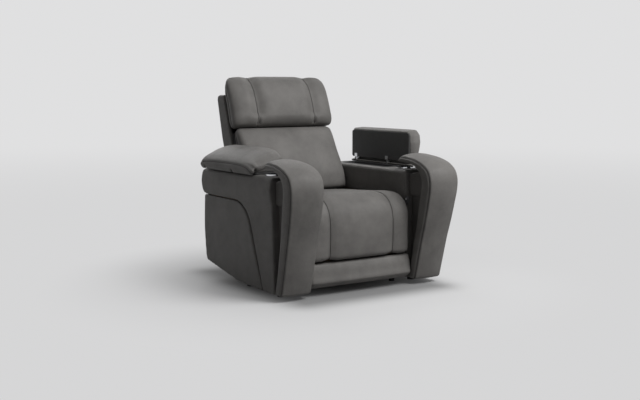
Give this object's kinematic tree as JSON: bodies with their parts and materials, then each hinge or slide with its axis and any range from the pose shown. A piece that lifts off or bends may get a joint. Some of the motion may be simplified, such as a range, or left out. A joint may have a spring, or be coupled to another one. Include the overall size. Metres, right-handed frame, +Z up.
{
  "type": "cinema recliner seat",
  "caption": "Padded power recliner with a swing-up footrest, tilting headrest, curved arm fronts, and lidded storage and a cup well in each arm.",
  "frame": {"origin": "centre of the middle foot's underside, on the floor, midway between the arms", "axes": "+Z up, +Y towards the back, +X to the right of a viewer in front of the seat"},
  "size_m": [1.0824, 1.0707, 1.0568],
  "materials": {
    "leather": "fine grain, satin",
    "leather_shadow": "fine grain, satin",
    "black_steel": "satin black powder coat",
    "zinc": "zinc plated",
    "chrome": "polished",
    "plywood": "bare plywood",
    "black_plastic": "fine texture",
    "webbing": "woven elastic",
    "rubber": "matte"
  },
  "bodies": {
    "base": {"base_frame": "black_steel", "base_feet": "rubber", "arm_feet": "rubber", "side_plates": "black_steel", "pivot_bolts": "zinc", "arm_bolts": "zinc", "seat_deck": "plywood", "seat_springs": "zinc", "seat_cushion": "leather", "footrest_motor": "black_plastic", "recline_motor": "black_plastic", "power_inlet": "black_plastic", "control_panel": "black_plastic", "left_arm_frame": "plywood", "right_arm_frame": "plywood", "left_shoulder": "leather", "right_shoulder": "leather", "left_lower_cover": "leather", "right_lower_cover": "leather", "left_neck": "leather_shadow", "right_neck": "leather_shadow", "left_front_band": "leather", "right_front_band": "leather", "left_bin": "black_plastic", "right_bin": "black_plastic", "left_cup": "chrome", "right_cup": "chrome", "left_cup_ring": "chrome", "right_cup_ring": "chrome", "left_hinge_leaf": "zinc", "right_hinge_leaf": "zinc"},
    "back": {"back_frame": "black_steel", "back_webbing": "webbing", "back_shell": "leather", "back_cushion": "leather", "headrest_bar": "zinc"},
    "headrest": {"headrest_board": "plywood", "headrest_cushion": "leather"},
    "footrest": {"footrest_board": "plywood", "footrest_brackets": "black_steel", "footrest_cushion": "leather", "footrest_lower_pad": "leather"},
    "footrest_drive": {"drive_tube": "black_steel"},
    "footrest_links": {"drive_links": "black_steel"},
    "recline_drive": {"recline_rod": "zinc"},
    "left_lid": {"left_lid_board": "black_plastic", "left_lid_pad": "leather", "left_lid_strap": "zinc"},
    "right_lid": {"right_lid_board": "black_plastic", "right_lid_pad": "leather", "right_lid_strap": "zinc"},
    "recline_button": {"recline_button": "chrome"},
    "upright_button": {"upright_button": "chrome"},
    "legs_up_button": {"legs_up_button": "chrome"},
    "legs_down_button": {"legs_down_button": "chrome"}
  },
  "joints": [
    {"name": "footrest_swing", "type": "hinge", "parent": "base", "child": "footrest", "pos_m": [0, -0.37085, 0.43585], "axis": [-1, 0, 0], "range_deg": [0, 88]},
    {"name": "drive_tube_turn", "type": "hinge", "parent": "base", "child": "footrest_drive", "pos_m": [0, -0.09, 0.235], "axis": [-1, 0, 0], "range_deg": [0, 88]},
    {"name": "drive_link_turn", "type": "hinge", "parent": "footrest_drive", "child": "footrest_links", "pos_m": [0, -0.00286, 0.10081], "axis": [-1, 0, 0], "range_deg": [-88, 0]},
    {"name": "back_recline", "type": "hinge", "parent": "base", "child": "back", "pos_m": [0, 0.24, 0.372], "axis": [-1, 0, 0], "range_deg": [0, 38]},
    {"name": "recline_rod_slide", "type": "slide", "parent": "base", "child": "recline_drive", "axis": [0, -1, 0], "range_m": [0, 0.072]},
    {"name": "headrest_tilt", "type": "hinge", "parent": "back", "child": "headrest", "pos_m": [0, 0.34819, 0.80103], "axis": [1, 0, 0], "range_deg": [0, 22]},
    {"name": "left_lid_hinge", "type": "hinge", "parent": "base", "child": "left_lid", "pos_m": [-0.478, 0.09, 0.5966], "axis": [0, -1, 0], "range_deg": [0, 90]},
    {"name": "right_lid_hinge", "type": "hinge", "parent": "base", "child": "right_lid", "pos_m": [0.478, 0.09, 0.5966], "axis": [0, -1, 0], "range_deg": [0, 90]},
    {"name": "recline_button_press", "type": "slide", "parent": "base", "child": "recline_button", "axis": [-1, 0, 0], "range_m": [0, 0.0015], "stiffness_N_per_m": 600},
    {"name": "upright_button_press", "type": "slide", "parent": "base", "child": "upright_button", "axis": [-1, 0, 0], "range_m": [0, 0.0015], "stiffness_N_per_m": 600},
    {"name": "legs_up_button_press", "type": "slide", "parent": "base", "child": "legs_up_button", "axis": [-1, 0, 0], "range_m": [0, 0.0015], "stiffness_N_per_m": 600},
    {"name": "legs_down_button_press", "type": "slide", "parent": "base", "child": "legs_down_button", "axis": [-1, 0, 0], "range_m": [0, 0.0015], "stiffness_N_per_m": 600}
  ],
  "couplings": [
    {"joint": "drive_tube_turn", "follows": "footrest_swing", "ratio": 1},
    {"joint": "drive_link_turn", "follows": "footrest_swing", "ratio": -1},
    {"joint": "recline_rod_slide", "follows": "back_recline", "m_per_rad": 0.10799}
  ]
}
